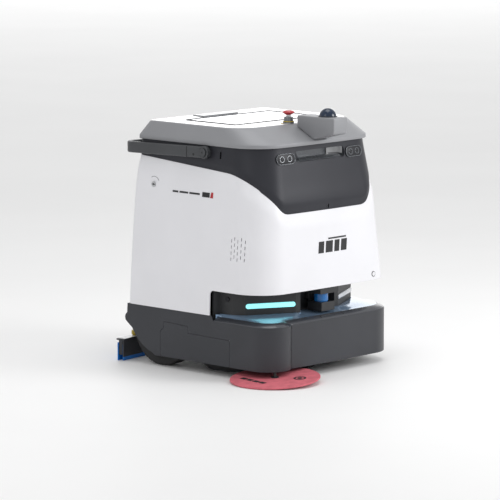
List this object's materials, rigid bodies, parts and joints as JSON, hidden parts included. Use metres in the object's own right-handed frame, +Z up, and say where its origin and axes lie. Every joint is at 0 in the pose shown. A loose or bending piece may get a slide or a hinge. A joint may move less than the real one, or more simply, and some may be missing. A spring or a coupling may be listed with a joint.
{
  "type": "robotic floor cleaner",
  "caption": "Free-driving floor scrubber: boxy white casing with grey sensor front, silver display lid, push bail, dark base with spinning side pad and rear squeegee.",
  "frame": {"origin": "on the floor, midway between the two drive wheels, directly under the drive axle", "axes": "+Z up; the front faces -Y; the machine's own right side is -X"},
  "size_m": [0.775, 0.8709, 0.8842],
  "materials": {
    "shell_white": "smooth semi-gloss moulding",
    "fascia_grey": "fine satin metallic grey",
    "lid_silver": "satin silver-grey paint",
    "base_dark": "fine-grained dark moulding",
    "deck_gloss": "glossy black",
    "black_plastic": "black moulding",
    "handle_grey": "satin dark grey",
    "recess_grey": "polished grey",
    "window_black": "polished black lens cover",
    "light_cyan": "translucent light guide",
    "window_blue": "tinted blue",
    "dome_clear": "smoked clear",
    "display": "lit white display",
    "display_frame": "black border",
    "steel": "brushed",
    "frame_metal": "powder-coated",
    "rail_aluminium": "mill finish",
    "tyre_rubber": "matt rubber",
    "skirt_rubber": "matt rubber",
    "blade_blue": "blue elastomer",
    "pad_pink": "coarse pink-red pad",
    "bristle_dark": "dark bristle",
    "knob_yellow": "yellow moulding",
    "stop_red": "glossy red",
    "motor_black": "black paint",
    "tank_white": "natural translucent",
    "contact_brass": "plated"
  },
  "bodies": {
    "body": {"chassis": "frame_metal", "upper_frame": "rail_aluminium", "base_shell": "base_dark", "front_deck": "deck_gloss", "front_wall": "black_plastic", "body_shell": "shell_white", "fascia": "fascia_grey", "grip_scoop": "recess_grey", "camera_windows": "window_black", "camera_modules": "black_plastic", "light_bars": "light_cyan", "corner_sensors": "window_black", "scan_lidar_housing": "black_plastic", "scan_lidar_window": "window_blue", "handle_pivots": "handle_grey", "front_cap": "shell_white", "speaker": "black_plastic", "body_hinges": "steel", "bumper_guides": "steel", "door_hinge_pins": "steel", "drive_motors": "motor_black", "caster_mount": "frame_metal", "side_brush_motor": "motor_black", "water_tanks": "tank_white", "power_unit": "black_plastic", "charge_contacts": "contact_brass"},
    "lid": {"lid": "lid_silver", "lid_hinge_leaves": "steel", "screen_bezel": "display_frame", "screen_glass": "display", "lid_rear_panel": "recess_grey", "sensor_nose": "lid_silver", "lidar_dome": "dome_clear", "estop_base": "handle_grey"},
    "lidar_rotor": {"lidar_rotor": "rail_aluminium"},
    "estop_stem": {"estop_stem": "steel"},
    "estop_button": {"estop_button": "stop_red"},
    "scan_lidar_rotor": {"scan_lidar_rotor": "rail_aluminium"},
    "carry_handle": {"carry_handle": "handle_grey"},
    "key_lock": {"key_lock": "steel"},
    "bumper": {"bumper": "base_dark"},
    "right_side_door": {"right_side_door": "base_dark"},
    "left_side_door": {"left_side_door": "base_dark"},
    "right_wheel": {"right_wheel_hub": "rail_aluminium", "right_tyre": "tyre_rubber"},
    "left_wheel": {"left_wheel_hub": "rail_aluminium", "left_tyre": "tyre_rubber"},
    "caster_fork": {"caster_fork": "steel"},
    "caster_wheel": {"caster_wheel": "tyre_rubber"},
    "brush_deck": {"brush_deck": "base_dark", "deck_skirt": "skirt_rubber", "scrub_motors": "motor_black"},
    "right_scrub_brush": {"right_scrub_brush": "bristle_dark"},
    "left_scrub_brush": {"left_scrub_brush": "bristle_dark"},
    "side_brush": {"side_brush": "pad_pink"},
    "squeegee": {"squeegee_arm": "frame_metal", "squeegee_bracket": "base_dark", "squeegee_blades": "blade_blue"},
    "right_squeegee_knob": {"right_squeegee_knob": "knob_yellow"},
    "left_squeegee_knob": {"left_squeegee_knob": "knob_yellow"}
  },
  "joints": [
    {"name": "lid_hinge", "type": "hinge", "parent": "body", "child": "lid", "pos_m": [0, 0.127, 0.7565], "axis": [-1, 0, 0], "range_deg": [0, 45]},
    {"name": "lidar_spin", "type": "hinge", "parent": "lid", "child": "lidar_rotor", "pos_m": [0, -0.48, 0.855], "axis": [0, 0, 1], "continuous": true},
    {"name": "estop_press", "type": "slide", "parent": "lid", "child": "estop_stem", "axis": [0, 0, -1], "range_m": [0, 0.005], "stiffness_N_per_m": 600, "springref_m": -0.004},
    {"name": "estop_twist", "type": "hinge", "parent": "estop_stem", "child": "estop_button", "pos_m": [-0.033, -0.333, 0.86], "axis": [0, 0, 1], "range_deg": [0, 40], "stiffness_Nm_per_rad": 0.05, "springref_deg": -17.19},
    {"name": "scan_lidar_spin", "type": "hinge", "parent": "body", "child": "scan_lidar_rotor", "pos_m": [0, -0.452, 0.25], "axis": [0, 0, 1], "continuous": true},
    {"name": "handle_swing", "type": "hinge", "parent": "body", "child": "carry_handle", "pos_m": [0, -0.209, 0.74], "axis": [1, 0, 0], "range_deg": [0, 60]},
    {"name": "key_turn", "type": "hinge", "parent": "body", "child": "key_lock", "pos_m": [-0.3, 0.029, 0.614], "axis": [1, 0, 0], "range_deg": [0, 90]},
    {"name": "bumper_press", "type": "slide", "parent": "body", "child": "bumper", "axis": [0, 1, 0], "range_m": [0, 0.008], "stiffness_N_per_m": 1500, "springref_m": -0.006},
    {"name": "right_door_hinge", "type": "hinge", "parent": "body", "child": "right_side_door", "pos_m": [-0.327, -0.342, 0.08], "axis": [0, 0, 1], "range_deg": [0, 65]},
    {"name": "left_door_hinge", "type": "hinge", "parent": "body", "child": "left_side_door", "pos_m": [0.327, -0.342, 0.08], "axis": [0, 0, -1], "range_deg": [0, 65]},
    {"name": "right_wheel_roll", "type": "hinge", "parent": "body", "child": "right_wheel", "pos_m": [-0.28, 0, 0.127], "axis": [1, 0, 0], "continuous": true},
    {"name": "left_wheel_roll", "type": "hinge", "parent": "body", "child": "left_wheel", "pos_m": [0.28, 0, 0.127], "axis": [1, 0, 0], "continuous": true},
    {"name": "caster_swivel", "type": "hinge", "parent": "body", "child": "caster_fork", "pos_m": [0, -0.41, 0.1], "axis": [0, 0, 1], "continuous": true},
    {"name": "caster_roll", "type": "hinge", "parent": "caster_fork", "child": "caster_wheel", "pos_m": [0, -0.388, 0.0375], "axis": [1, 0, 0], "continuous": true},
    {"name": "deck_lift", "type": "slide", "parent": "body", "child": "brush_deck", "axis": [0, 0, 1], "range_m": [0, 0.03]},
    {"name": "right_scrub_spin", "type": "hinge", "parent": "brush_deck", "child": "right_scrub_brush", "pos_m": [-0.132, -0.215, 0.05], "axis": [0, 0, 1], "continuous": true},
    {"name": "left_scrub_spin", "type": "hinge", "parent": "brush_deck", "child": "left_scrub_brush", "pos_m": [0.132, -0.215, 0.05], "axis": [0, 0, 1], "continuous": true},
    {"name": "side_brush_spin", "type": "hinge", "parent": "body", "child": "side_brush", "pos_m": [-0.28, -0.504, 0.0117], "axis": [-0.0721, -0.0127, 0.9973], "continuous": true},
    {"name": "squeegee_lift", "type": "hinge", "parent": "body", "child": "squeegee", "pos_m": [0, 0.071, 0.106], "axis": [1, 0, 0], "range_deg": [0, 10]},
    {"name": "right_knob_turn", "type": "hinge", "parent": "squeegee", "child": "right_squeegee_knob", "pos_m": [-0.26, 0.17401, 0.085], "axis": [0, 0, 1], "continuous": true},
    {"name": "left_knob_turn", "type": "hinge", "parent": "squeegee", "child": "left_squeegee_knob", "pos_m": [0.26, 0.17401, 0.085], "axis": [0, 0, 1], "continuous": true}
  ]
}
